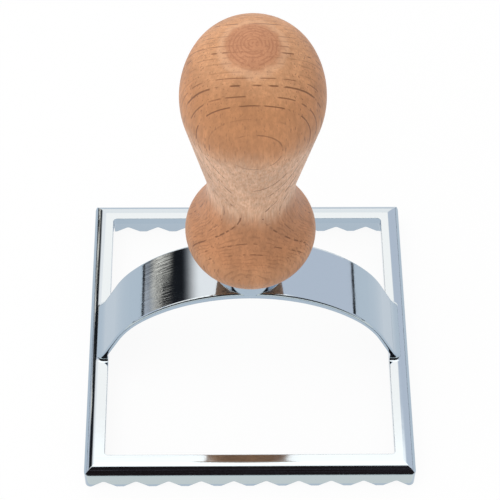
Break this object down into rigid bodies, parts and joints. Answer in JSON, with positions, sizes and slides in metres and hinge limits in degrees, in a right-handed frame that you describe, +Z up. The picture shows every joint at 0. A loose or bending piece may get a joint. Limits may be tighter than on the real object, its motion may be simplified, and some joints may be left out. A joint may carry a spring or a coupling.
{
  "type": "dough cutter",
  "caption": "Square dough cutter: a plated frame with a scalloped cutting edge, carried by an arched strap under a turned wooden knob.",
  "frame": {"origin": "middle of the square frame, at the height of the scallop tips", "axes": "+Z up along the knob, +X along the arched strap, -Y towards the viewer of the picture"},
  "size_m": [0.075, 0.075, 0.111],
  "materials": {
    "plated_casting": "bright plating on a die-casting",
    "beech": "satin lacquered beech",
    "screw_steel": "zinc-plated steel"
  },
  "bodies": {
    "root": {"cutter_frame": "plated_casting", "handle": "beech", "handle_screw": "screw_steel"}
  },
  "joints": []
}
